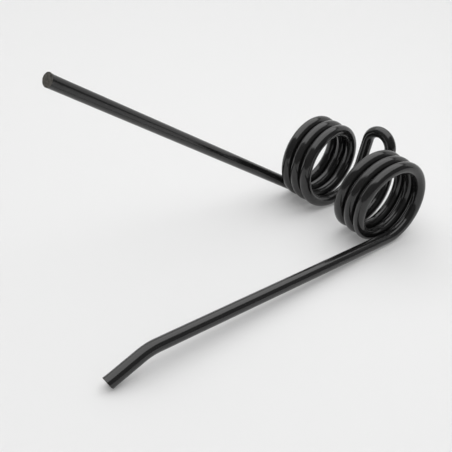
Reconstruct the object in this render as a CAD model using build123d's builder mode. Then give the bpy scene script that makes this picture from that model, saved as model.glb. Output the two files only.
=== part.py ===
from build123d import *
from math import asin, atan, atan2, cos, degrees, hypot, pi, radians, sin, tan
import os

# Pick-up tine of a baler: one round spring wire wound into two coils side by side, mirror images of
# each other, with a hairpin loop between them for the clamping bolt and a long finger from the outer
# end of each coil. One finger ends in a short bend. The other is straight and stands higher.
# Millimetres. X runs along the coils, the fingers point to -Y and Z is up. The origin is on the
# coils' axis, midway between them. The tine lies as it rests, on its outer turns and its bent tip.

# Wire
wire_diameter = 5.8
end_chamfer = 0.3

# Coils
coil_bore = 32.5
turn_gap = 0.6
first_turn_spread = 1.9
spread_turns = 0.75
bent_finger_turns = 3.2564
coil_droop = 0.5
coil_sweep = 2.0
arcs_per_turn = 8

# Hairpin loop
loop_slot = 9.1
arm_length = 13.1
arm_taper = 6.7
arm_bend_radius = 11.6

# Fingers
bent_finger_length = 139.7
tip_bend_radius = 19.4
tip_bend = 23.7
tip_length = 15.5
straight_finger_length = 160.2
fingers_apart = 30.8

# Sizes that follow from these
wire_radius = wire_diameter / 2
coil_radius = coil_bore / 2 + wire_radius
coil_pitch = wire_diameter + turn_gap
# The first turn leaves the loop at a steeper pitch, which eases down to that of the coil
first_pitch = coil_pitch + 2 * first_turn_spread / spread_turns
# The slope at which the coil's first arc starts, with the ends of all arcs on the coil's centre line
coil_slope = degrees(atan(first_pitch / arcs_per_turn / (2 * coil_radius * tan(pi / arcs_per_turn))))
loop_radius = loop_slot / 2 + wire_radius
straight_finger_turns = bent_finger_turns + fingers_apart / 360


def finger_rise():
    """Slope of the bent finger, in degrees, that sets its tip down at the level under the coils."""
    bend = radians(tip_bend)
    reach = bent_finger_length + tip_bend_radius * sin(bend) + tip_length * cos(bend)
    drop = coil_radius + tip_bend_radius * (1 - cos(bend)) + tip_length * sin(bend)
    rest_height = coil_radius + wire_radius * (1 - cos(bend))
    return degrees(atan2(drop, reach) - asin(rest_height / hypot(reach, drop)))


# Angle about X, from +Y, at which the loop's arms leave the coils
loop_angle = 360 * bent_finger_turns - 90 - finger_rise()


def tilted(direction):
    """A direction of the coil at +X, whose outer end sits a little lower and further forward."""
    return direction.rotate(Axis.Z, -coil_sweep).rotate(Axis.Y, coil_droop)


def turned(direction, towards, angle):
    """A direction turned by an angle in degrees towards another one that is square to it."""
    return direction * cos(radians(angle)) + towards * sin(radians(angle))


def bend_end(start, direction, new_direction, radius):
    """Point where a bend of this radius has turned the wire into its new direction."""
    half_turn = radians(direction.get_angle(new_direction)) / 2
    return start + (direction + new_direction) * (radius * tan(half_turn))


# Directions on the half at +X, where the arm leaves the coil
inward = Vector(-1, 0, 0)
outward = Vector(0, 1, 0).rotate(Axis.X, loop_angle)
upward = Vector(0, 0, 1).rotate(Axis.X, loop_angle)
coil_axis = tilted(-inward)
coil_upward = turned(tilted(upward), -coil_axis, coil_slope)
arm_upward = turned(upward, inward, arm_taper)

# The arms' tops lie a loop's width apart, and that sets how far from the middle the coil starts
arm_bend = bend_end(Vector(0, 0, 0), coil_upward, arm_upward, arm_bend_radius)
arm = arm_bend + arm_upward * arm_length
arm_top_inset = loop_radius * cos(radians(arm_taper))
coil_start = outward * coil_radius + inward * (arm.X - arm_top_inset)
coil_centre = coil_start - tilted(outward) * coil_radius


def half_loop():
    """Arm from the coil to the loop, and half of the loop's crown."""
    arm_start = coil_start + arm_bend
    arm_top = coil_start + arm
    crown_height = loop_radius * (1 - sin(radians(arm_taper)))
    crown = arm_top + inward * arm_top.X + upward * crown_height
    with BuildLine() as loop:
        TangentArc(coil_start, arm_start, tangent=coil_upward)
        Line(arm_start, arm_top)
        TangentArc(arm_top, crown, tangent=arm_upward)
    return loop.line


def coil_point(turns):
    """Point of the coil's centre line, a number of turns out from the foot of the arm."""
    spoke = turned(tilted(outward), -tilted(upward), 360 * turns)
    spread_left = max(1 - turns / spread_turns, 0)
    along = coil_pitch * turns + first_turn_spread * (1 - spread_left**2)
    return coil_centre + spoke * coil_radius + coil_axis * along


def coil(turns):
    """Turns of wire from the foot of the arm out to the start of the finger, laid as a chain of arcs."""
    arcs = round(turns * arcs_per_turn)
    start = coil_start
    direction = -coil_upward
    with BuildLine() as winding:
        for arc in range(arcs):
            bend = TangentArc(start, coil_point(turns * (arc + 1) / arcs), tangent=direction)
            start = bend @ 1
            direction = bend % 1
    return winding.line


def finger(start, direction, length):
    """Straight finger that carries the wire on from its coil."""
    with BuildLine() as straight:
        Line(start, start + direction * length)
    return straight.line


def bent_tip(start, direction, coil_outward):
    """Short bend at the end of a finger, away from the coil's axis."""
    tip_direction = turned(direction, coil_outward, tip_bend)
    tip_start = bend_end(start, direction, tip_direction, tip_bend_radius)
    with BuildLine() as tip:
        TangentArc(start, tip_start, tangent=direction)
        Line(tip_start, tip_start + tip_direction * tip_length)
    return tip.line


bent_coil = coil(bent_finger_turns)
bent_finger = finger(bent_coil @ 1, bent_coil % 1, bent_finger_length)
bent_finger_outward = coil_axis.cross(bent_coil % 1).normalized()
tip = bent_tip(bent_finger @ 1, bent_finger % 1, bent_finger_outward)

straight_coil = coil(straight_finger_turns)
straight_finger = finger(straight_coil @ 1, straight_coil % 1, straight_finger_length)

with BuildPart() as spring_tine:
    with BuildLine() as centre_line:
        add(tip)
        add(bent_finger)
        add(bent_coil)
        add(half_loop())
        add(mirror(half_loop(), Plane.YZ))
        add(mirror(straight_coil, Plane.YZ))
        add(mirror(straight_finger, Plane.YZ))
    wire_end = centre_line.wire()
    with BuildSketch(Plane(wire_end @ 0, z_dir=wire_end % 0)):
        Circle(wire_radius)
    sweep()
    cropped_ends = spring_tine.faces().filter_by(GeomType.PLANE)
    chamfer(cropped_ends.edges(), end_chamfer)

spring_tine.part.label = "spring_tine"

os.makedirs("parts", exist_ok=True)
export_step(spring_tine.part, "parts/spring_tine.step")
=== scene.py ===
import bpy
from math import asin, atan, atan2, ceil, cos, exp, hypot, pi, radians, sin, tan
from mathutils import Matrix, Vector, noise


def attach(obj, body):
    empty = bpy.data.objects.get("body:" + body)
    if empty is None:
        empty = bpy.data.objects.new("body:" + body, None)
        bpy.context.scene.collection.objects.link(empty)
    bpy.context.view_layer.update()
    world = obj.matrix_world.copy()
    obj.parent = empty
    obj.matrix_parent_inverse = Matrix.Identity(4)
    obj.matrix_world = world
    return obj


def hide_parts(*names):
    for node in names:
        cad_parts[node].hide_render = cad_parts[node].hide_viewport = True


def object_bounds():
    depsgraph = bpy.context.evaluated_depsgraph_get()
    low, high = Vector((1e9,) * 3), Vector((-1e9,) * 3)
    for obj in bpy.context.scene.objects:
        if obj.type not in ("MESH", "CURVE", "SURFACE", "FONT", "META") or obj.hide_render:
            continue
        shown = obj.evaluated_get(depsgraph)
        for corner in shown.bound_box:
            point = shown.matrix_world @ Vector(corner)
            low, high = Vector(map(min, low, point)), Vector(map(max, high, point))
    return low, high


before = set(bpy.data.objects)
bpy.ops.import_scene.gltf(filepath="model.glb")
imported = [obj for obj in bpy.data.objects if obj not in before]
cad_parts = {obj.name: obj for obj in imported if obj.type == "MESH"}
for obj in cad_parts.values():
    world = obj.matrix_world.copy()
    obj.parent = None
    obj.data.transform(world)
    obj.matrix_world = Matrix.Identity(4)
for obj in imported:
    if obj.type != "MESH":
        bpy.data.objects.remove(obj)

cad_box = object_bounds()

# Pick-up tine of a baler: one spring wire, painted gloss black after both ends were cropped.
# Metres. The wire's centre line is laid out as in the part, and its skin is modelled here with the
# cropped ends and the slight waves of the paint.
mm = 0.001

# Wire
wire_radius = 5.8 * mm / 2

# Coils
coil_radius = 32.5 * mm / 2 + wire_radius
coil_pitch = 6.4 * mm
first_turn_spread = 1.9 * mm
spread_turns = 0.75
bent_finger_turns = 3.2564
coil_droop = radians(0.5)
coil_sweep = radians(2.0)
arcs_per_turn = 8

# Hairpin loop
loop_radius = 9.1 * mm / 2 + wire_radius
arm_length = 13.1 * mm
arm_taper = radians(6.7)
arm_bend_radius = 11.6 * mm

# Fingers
bent_finger_length = 139.7 * mm
tip_bend_radius = 19.4 * mm
tip_bend = radians(23.7)
tip_length = 15.5 * mm
straight_finger_length = 160.2 * mm
fingers_apart = radians(30.8)

# Paint and cropped ends
paint_wave = 0.016 * mm
paint_wave_size = 4.5 * mm
crop_edge = 0.1 * mm
crop_tilt = radians(3.5)
crop_reach = 1.6 * mm
crop_lip = 0.28 * mm
crop_lip_reach = 1.1 * mm
crop_grain = 0.05 * mm
crop_grain_size = 0.5 * mm
smooth_grain = 0.3
crop_zone = 4 * wire_radius
near_stub = 0.45 * mm
near_roll_over = 0.5 * mm
far_stub = 0.25 * mm
far_slant = radians(10)
far_roll_over = 0.15 * mm

# Where the forms of a cropped face start and over how much of the wire's radius they fade in
lip_from = 0.25
roll_over_from = 0.72
roll_over_side, roll_over_fade = 0.2, 0.9
torn_from, torn_fade = -0.2, 0.6

# Mesh
sides = 64
bend_step = radians(3.8)
straight_step = 1.2 * mm
cap_rings = 12
cap_ring_spacing = 1.2

# Paper of the floor and the wall
paper_white = (0.82, 0.82, 0.815, 1)
# Painted shade: between these distances from the tine the paper is painted darker, for light that
# falls off away from it
paper_shade_from = 80 * mm
paper_shade_to = 500 * mm


def finger_rise():
    """Slope of the bent finger that sets its tip down at the level under the coils."""
    reach = bent_finger_length + tip_bend_radius * sin(tip_bend) + tip_length * cos(tip_bend)
    drop = coil_radius + tip_bend_radius * (1 - cos(tip_bend)) + tip_length * sin(tip_bend)
    rest_height = coil_radius + wire_radius * (1 - cos(tip_bend))
    return atan2(drop, reach) - asin(rest_height / hypot(reach, drop))


loop_angle = 2 * pi * bent_finger_turns - pi / 2 - finger_rise()
first_pitch = coil_pitch + 2 * first_turn_spread / spread_turns
coil_slope = atan(first_pitch / arcs_per_turn / (2 * coil_radius * tan(pi / arcs_per_turn)))
coil_tilt = Matrix.Rotation(coil_droop, 3, "Y") @ Matrix.Rotation(-coil_sweep, 3, "Z")


def turned(direction, towards, angle):
    """A direction turned by an angle towards another one that is square to it."""
    return direction * cos(angle) + towards * sin(angle)


def bend_end(start, direction, new_direction, radius):
    """Point where a bend of this radius has turned the wire into its new direction."""
    return start + (direction + new_direction) * (radius * tan(direction.angle(new_direction) / 2))


# Directions on the half at +X, where the arm leaves the coil
inward = Vector((-1, 0, 0))
outward = Matrix.Rotation(loop_angle, 3, "X") @ Vector((0, 1, 0))
upward = Matrix.Rotation(loop_angle, 3, "X") @ Vector((0, 0, 1))
coil_axis = coil_tilt @ -inward
coil_outward = coil_tilt @ outward
coil_upward = turned(coil_tilt @ upward, -coil_axis, coil_slope)
arm_upward = turned(upward, inward, arm_taper)

arm_bend = bend_end(Vector(), coil_upward, arm_upward, arm_bend_radius)
arm = arm_bend + arm_upward * arm_length
coil_start = outward * coil_radius + inward * (arm.x - loop_radius * cos(arm_taper))
coil_centre = coil_start - coil_outward * coil_radius


def run_to(stations, end):
    """Carries the wire straight on to a point."""
    start, direction = stations[-1]
    steps = ceil((end - start).length / straight_step)
    stations.extend((start.lerp(end, step / steps), direction) for step in range(1, steps + 1))


def bend_to(stations, end):
    """Carries the wire on to a point along the arc that leaves in its present direction."""
    start, direction = stations[-1]
    chord = end - start
    half_turn = direction.angle(chord)
    side = (chord - chord.project(direction)).normalized()
    radius = chord.length / (2 * sin(half_turn))
    steps = ceil(2 * half_turn / bend_step)
    for step in range(1, steps + 1):
        turn = 2 * half_turn * step / steps
        point = start + (direction * sin(turn) + side * (1 - cos(turn))) * radius
        stations.append((point, turned(direction, side, turn)))


def half_loop():
    """Stations from the foot of the arm up to the middle of the loop's crown."""
    arm_top = coil_start + arm
    crown_height = loop_radius * (1 - sin(arm_taper))
    stations = [(coil_start, coil_upward)]
    bend_to(stations, coil_start + arm_bend)
    run_to(stations, arm_top)
    bend_to(stations, arm_top + inward * arm_top.x + upward * crown_height)
    return stations


def coil_point(turns):
    """Point of the coil's centre line, a number of turns out from the foot of the arm."""
    spoke = turned(coil_outward, coil_tilt @ -upward, 2 * pi * turns)
    spread_left = max(1 - turns / spread_turns, 0)
    along = coil_pitch * turns + first_turn_spread * (1 - spread_left**2)
    return coil_centre + spoke * coil_radius + coil_axis * along


def coil(turns):
    """Stations from the foot of the arm out to the start of the finger."""
    arcs = round(turns * arcs_per_turn)
    stations = [(coil_start, -coil_upward)]
    for arc in range(1, arcs + 1):
        bend_to(stations, coil_point(turns * arc / arcs))
    return stations


def bent_half():
    """Stations from the foot of the arm at +X out to the bent tip."""
    stations = coil(bent_finger_turns)
    start, direction = stations[-1]
    run_to(stations, start + direction * bent_finger_length)
    start, direction = stations[-1]
    tip_direction = turned(direction, coil_axis.cross(direction).normalized(), tip_bend)
    bend_to(stations, bend_end(start, direction, tip_direction, tip_bend_radius))
    start, direction = stations[-1]
    run_to(stations, start + direction * tip_length)
    return stations


def straight_half():
    """Stations from the foot of the other arm out to the end of the straight finger, at +X too."""
    stations = coil(bent_finger_turns + fingers_apart / (2 * pi))
    start, direction = stations[-1]
    run_to(stations, start + direction * straight_finger_length)
    return stations


def mirrored(stations):
    """The same stations on the other side of the loop."""
    return [(Vector((-p.x, p.y, p.z)), Vector((-d.x, d.y, d.z))) for p, d in stations]


def backward(stations):
    """The same stations walked the other way."""
    return [(p, -d) for p, d in reversed(stations)]


def wire_stations():
    """The whole wire, from the bent tip to the end of the straight finger."""
    loop = half_loop()
    legs = [backward(bent_half()), loop, backward(mirrored(loop)), mirrored(straight_half())]
    return legs[0] + [station for leg in legs[1:] for station in leg[1:]]


def section_frames(stations):
    """A direction square to the wire at each station, carried along without twist."""
    across = stations[0][1].orthogonal().normalized()
    frames = []
    for _, direction in stations:
        across = (across - across.project(direction)).normalized()
        frames.append((across, direction.cross(across)))
    return frames


def smooth_step(value):
    """0 below 0 and 1 above 1, with a smooth passage between them."""
    value = min(max(value, 0.0), 1.0)
    return value * value * (3 - 2 * value)


class CroppedEnd:
    """The face that a shear leaves: tilted, rolled over where the blade came in, with a lip on top."""

    def __init__(self, station, out, stub, slant, roll_over):
        upward, sideways = Vector((0, 0, 1)), Vector((1, 0, 0))
        self.centre = station[0] + out * stub
        self.out = out
        self.lip_side = (upward - upward.project(out)).normalized()
        self.fall = (sideways - sideways.project(out)).normalized() * tan(slant)
        self.roll_over = roll_over

    def towards_lip(self, offset):
        """From -1, where the blade came in, to 1 at the lip."""
        return offset.dot(self.lip_side) / wire_radius

    def pull(self, point, spoke):
        """How far the skin near the end follows the slanted face and stands out at the lip."""
        behind = -(point - self.centre).dot(self.out)
        side = smooth_step((spoke.dot(self.lip_side) - lip_from) / (1 - lip_from))
        follow = self.out * self.rise(spoke * wire_radius) * exp(-behind / crop_reach)
        return follow + spoke * crop_lip * side * exp(-behind / crop_lip_reach)

    def rise(self, offset):
        """How far the end face stands out at an offset from its centre."""
        towards = self.towards_lip(offset)
        share = min(offset.length / wire_radius, 1.0)
        rolled = smooth_step((share - roll_over_from) / (1 - roll_over_from))
        rolled *= smooth_step((roll_over_side - towards) / roll_over_fade)
        grain = noise.fractal((self.centre + offset) / crop_grain_size, 0.7, 2.0, 4)
        torn = smooth_step((towards - torn_from) / torn_fade)
        return (
            towards * tan(crop_tilt) * wire_radius
            - offset.dot(self.fall)
            - rolled * self.roll_over
            + grain * crop_grain * (smooth_grain + torn)
        )


def skin_point(centre, spoke, ends):
    """A point of the painted skin, with the paint's slight waves and the cropped ends' lips."""
    point = centre + spoke * wire_radius
    wave = noise.noise(point / paint_wave_size) * paint_wave
    pulls = [end.pull(point, spoke) for end in ends if (point - end.centre).length < crop_zone]
    return point + spoke * wave + sum(pulls, Vector())


def tine_mesh():
    """Skin of the whole wire as one closed mesh, with a mark on what the shear laid bare."""
    stations = wire_stations()
    first, last = stations[0], stations[-1]
    ends = [
        CroppedEnd(first, -first[1], near_stub, 0, near_roll_over),
        CroppedEnd(last, last[1], far_stub, far_slant, far_roll_over),
    ]
    stations.insert(0, (ends[0].centre + first[1] * crop_edge, first[1]))
    stations.insert(0, (ends[0].centre, first[1]))
    stations.append((ends[1].centre - last[1] * crop_edge, last[1]))
    stations.append((ends[1].centre, last[1]))
    frames = section_frames(stations)
    spokes = [
        [turned(across, beside, 2 * pi * side / sides) for side in range(sides)]
        for across, beside in frames
    ]
    points = [
        skin_point(centre, spoke, ends)
        for (centre, _), ring in zip(stations, spokes)
        for spoke in ring
    ]
    faces = []
    for ring in range(len(stations) - 1):
        for side in range(sides):
            here, beside = ring * sides + side, ring * sides + (side + 1) % sides
            faces.append((here, beside, beside + sides, here + sides))
    bare = [0.0] * len(points)
    for end, ring, order in ((ends[0], 0, -1), (ends[1], len(stations) - 1, 1)):
        rim = [ring * sides + side for side in range(sides)]
        add_cap(points, faces, bare, end, rim, order)
    mesh = bpy.data.meshes.new("spring_tine_skin")
    mesh.from_pydata(points, [], faces)
    mark = mesh.attributes.new("bare", "FLOAT", "POINT")
    mark.data.foreach_set("value", bare)
    mesh.shade_smooth()
    mesh.validate()
    return mesh


def add_cap(points, faces, bare, end, rim, order):
    """Closes one end of the skin with rings that shrink to the middle of the cropped face."""
    offsets = [points[index] - end.centre for index in rim]
    offsets = [offset - end.out * offset.dot(end.out) for offset in offsets]
    for index in rim:
        bare[index] = 0.5
    outer = rim
    for ring in range(1, cap_rings):
        share = 1 - (ring / cap_rings) ** cap_ring_spacing
        inner = []
        for offset in offsets:
            inner.append(len(points))
            points.append(end.centre + offset * share + end.out * end.rise(offset * share))
            bare.append(1.0)
        for side in range(sides):
            beside = (side + 1) % sides
            faces.append((outer[side], outer[beside], inner[beside], inner[side])[::order])
        outer = inner
    middle = len(points)
    points.append(end.centre + end.out * end.rise(Vector()))
    bare.append(1.0)
    for side in range(sides):
        faces.append((outer[side], outer[(side + 1) % sides], middle)[::order])


def new_material(name):
    """A material with its node tree and its shader."""
    material = bpy.data.materials.new(name)
    material.use_nodes = True
    return material, material.node_tree, material.node_tree.nodes["Principled BSDF"]


def noise_pattern(tree, place, scale, detail):
    """Fine noise over the object, as the output of its node."""
    pattern = tree.nodes.new("ShaderNodeTexNoise")
    pattern.inputs["Scale"].default_value = scale
    pattern.inputs["Detail"].default_value = detail
    tree.links.new(place, pattern.inputs["Vector"])
    return pattern.outputs["Fac"]


def tones_between(tree, pattern, low, high, low_at=0.0, high_at=1.0):
    """Colours from low to high as the pattern rises between two of its levels."""
    ramp = tree.nodes.new("ShaderNodeValToRGB")
    for element, colour, level in zip(ramp.color_ramp.elements, (low, high), (low_at, high_at)):
        element.position = level
        element.color = (*colour, 1)
    tree.links.new(pattern, ramp.inputs["Fac"])
    return ramp.outputs["Color"]


def gloss_black_paint():
    """Dipped gloss black paint with faint unevenness, thin and rough where the ends were cropped."""
    material, tree, shader = new_material("gloss_black_paint")
    link = tree.links.new
    place = tree.nodes.new("ShaderNodeTexCoord").outputs["Object"]

    bare = tree.nodes.new("ShaderNodeAttribute")
    bare.attribute_name = "bare"

    tone = noise_pattern(tree, place, 90.0, 3.0)
    paint = tones_between(tree, tone, (0.0075, 0.0075, 0.0078), (0.0125, 0.0122, 0.0118))
    rust = noise_pattern(tree, place, 900.0, 5.0)
    steel = tones_between(tree, rust, (0.035, 0.032, 0.028), (0.12, 0.11, 0.095), 0.3, 0.7)

    colour = tree.nodes.new("ShaderNodeMix")
    colour.data_type = "RGBA"
    link(bare.outputs["Fac"], colour.inputs["Factor"])
    link(paint, colour.inputs["A"])
    link(steel, colour.inputs["B"])
    link(colour.outputs["Result"], shader.inputs["Base Color"])

    gloss = tree.nodes.new("ShaderNodeMapRange")
    gloss.inputs["To Min"].default_value = 0.10
    gloss.inputs["To Max"].default_value = 0.20
    link(tone, gloss.inputs["Value"])
    rough = tree.nodes.new("ShaderNodeMix")
    rough.inputs["B"].default_value = 0.55
    link(bare.outputs["Fac"], rough.inputs["Factor"])
    link(gloss.outputs["Result"], rough.inputs["A"])
    link(rough.outputs["Result"], shader.inputs["Roughness"])

    bump = tree.nodes.new("ShaderNodeBump")
    bump.inputs["Strength"].default_value = 0.5
    bump.inputs["Distance"].default_value = 0.05 * mm
    link(noise_pattern(tree, place, 600.0, 4.0), bump.inputs["Height"])
    link(bump.outputs["Normal"], shader.inputs["Normal"])

    shader.inputs["IOR"].default_value = 1.56
    return material


def camera_or_mirror(tree):
    """1 for a ray from the camera or by way of a reflection or a glass, 0 for the light's own rays."""
    path = tree.nodes.new("ShaderNodeLightPath")
    seen = path.outputs["Is Camera Ray"]
    for kind in ("Is Glossy Ray", "Is Transmission Ray"):
        either = tree.nodes.new("ShaderNodeMath")
        either.operation = "ADD"
        tree.links.new(seen, either.inputs[0])
        tree.links.new(path.outputs[kind], either.inputs[1])
        seen = either.outputs["Value"]
    return seen


def pale_paper(name, tone, shaded_far_tone, own_white):
    """Pale paper, painted a little darker away from the tine as painted shade for its falling light,
    with a share of plain white of its own.
    """
    material, tree, shader = new_material(name)
    link = tree.links.new
    away = tree.nodes.new("ShaderNodeVectorMath")
    away.operation = "LENGTH"
    link(tree.nodes.new("ShaderNodeTexCoord").outputs["Object"], away.inputs[0])
    # Painted shade: the paper's colour darkens away from the tine, for light that falls off there
    fade = tree.nodes.new("ShaderNodeMapRange")
    fade.inputs["From Min"].default_value = paper_shade_from
    fade.inputs["From Max"].default_value = paper_shade_to
    fade.inputs["To Min"].default_value = tone
    fade.inputs["To Max"].default_value = shaded_far_tone
    link(away.outputs["Value"], fade.inputs["Value"])
    link(fade.outputs["Result"], shader.inputs["Base Color"])
    shader.inputs["Roughness"].default_value = 0.9
    shader.inputs["Specular IOR Level"].default_value = 0.0
    white = tree.nodes.new("ShaderNodeEmission")
    white.inputs["Color"].default_value = paper_white
    seen = camera_or_mirror(tree)
    share = tree.nodes.new("ShaderNodeMath")
    share.operation = "MULTIPLY"
    share.inputs[1].default_value = own_white
    link(seen, share.inputs[0])
    mixed = tree.nodes.new("ShaderNodeMixShader")
    link(share.outputs["Value"], mixed.inputs["Fac"])
    link(shader.outputs["BSDF"], mixed.inputs[1])
    link(white.outputs["Emission"], mixed.inputs[2])
    link(mixed.outputs["Shader"], tree.nodes["Material Output"].inputs["Surface"])
    return material


def new_object(name, data):
    """An object of this data, placed in the scene."""
    made = bpy.data.objects.new(name, data)
    bpy.context.scene.collection.objects.link(made)
    return made


tine = new_object("painted_tine", tine_mesh())
tine.data.materials.append(gloss_black_paint())
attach(tine, "root")
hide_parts("spring_tine")

# Floor of pale paper under the tine
floor_size = 24.0
floor_level = cad_box[0].z
half = floor_size / 2
floor_mesh = bpy.data.meshes.new("floor")
floor_sides = ((-half, -half), (half, -half), (half, half), (-half, half))
floor_corners = [(x, y, floor_level) for x, y in floor_sides]
floor_mesh.from_pydata(floor_corners, [], [(0, 1, 2, 3)])
floor = new_object("floor", floor_mesh)
# Painted shade: the floor's paper is painted darker away from the tine, where its light falls off
floor_mesh.materials.append(pale_paper("floor_paper", 0.795, 0.699, 0.2))


def heading(azimuth, elevation):
    """Unit vector at an azimuth from +Y towards +X and an elevation."""
    return Vector((sin(azimuth) * cos(elevation), cos(azimuth) * cos(elevation), sin(elevation)))


def aimed(direction, roll):
    """Rotation that turns an object's -Z to a direction, rolled about it."""
    back = -direction.normalized()
    right = direction.cross(Vector((0, 0, 1))).normalized()
    up = back.cross(right)
    turn = Matrix((turned(right, up, roll), turned(up, -right, roll), back)).transposed()
    return turn.to_quaternion()


# Curved wall of the same paper far behind the tine
wall_distance = 6.0
wall_height = 4.02
wall_panels = 24
wall_from, wall_to = radians(-121), radians(31)
wall_points = []
for panel in range(wall_panels + 1):
    foot = heading(wall_from + (wall_to - wall_from) * panel / wall_panels, 0) * wall_distance
    foot.z = floor_level
    wall_points += [foot, foot + Vector((0, 0, wall_height))]
wall_faces = [(2 * i, 2 * i + 1, 2 * i + 3, 2 * i + 2) for i in range(wall_panels)]
wall_mesh = bpy.data.meshes.new("wall")
wall_mesh.from_pydata(wall_points, [], wall_faces)
wall = new_object("wall", wall_mesh)
wall_mesh.materials.append(pale_paper("wall_paper", 0.80, 0.80, 1.0))

# Camera at the photograph's viewing angle
image_size = 452
focal_length_pixels = 724.4
sensor_width = 36.0
camera_azimuth = radians(131.498)
camera_elevation = radians(34.724)
camera_roll = radians(4.463)
camera_distance = 382.47 * mm
camera_target = Vector((-35.07, -50.41, -31.36)) * mm

camera_data = bpy.data.cameras.new("camera")
camera_data.sensor_width = sensor_width
camera_data.lens = focal_length_pixels / image_size * sensor_width
camera_data.clip_start = 0.01
camera_data.clip_end = 60.0
camera = new_object("camera", camera_data)
camera_back = heading(camera_azimuth, camera_elevation)
camera.location = camera_target + camera_back * camera_distance
camera.rotation_mode = "QUATERNION"
camera.rotation_quaternion = aimed(-camera_back, camera_roll)
bpy.context.scene.camera = camera

# One large softbox above and behind the tine. Its half sizes are shares of its distance.
softbox_distance = 5.5
softbox_towards = heading(radians(-48.8), radians(57.7))
softbox_back = heading(radians(-157.9), radians(77.0))
softbox_roll = radians(-67.2)
softbox_half_sizes = (0.845, 0.818)
softbox_radiance = 1.69

softbox_data = bpy.data.lights.new("softbox", "AREA")
softbox_data.shape = "RECTANGLE"
softbox_data.size = 2 * softbox_half_sizes[0] * softbox_distance
softbox_data.size_y = 2 * softbox_half_sizes[1] * softbox_distance
softbox_data.energy = softbox_radiance * pi * softbox_data.size * softbox_data.size_y
softbox = new_object("softbox", softbox_data)
softbox.location = softbox_towards * softbox_distance
softbox.rotation_mode = "QUATERNION"
softbox.rotation_quaternion = aimed(-softbox_back, softbox_roll)
softbox.visible_camera = False

# The studio around it, dim where it is seen or mirrored
fill_tone = (0.30, 0.30, 0.30, 1)
studio_tone = (0.19, 0.19, 0.19, 1)
world = bpy.data.worlds.new("studio")
world.use_nodes = True
tree = world.node_tree
fill = tree.nodes["Background"]
fill.inputs["Color"].default_value = fill_tone
dim_studio = tree.nodes.new("ShaderNodeBackground")
dim_studio.inputs["Color"].default_value = studio_tone
surroundings = tree.nodes.new("ShaderNodeMixShader")
tree.links.new(camera_or_mirror(tree), surroundings.inputs["Fac"])
tree.links.new(fill.outputs["Background"], surroundings.inputs[1])
tree.links.new(dim_studio.outputs["Background"], surroundings.inputs[2])
tree.links.new(surroundings.outputs["Shader"], tree.nodes["World Output"].inputs["Surface"])
bpy.context.scene.world = world

bpy.context.scene.view_settings.view_transform = "Standard"
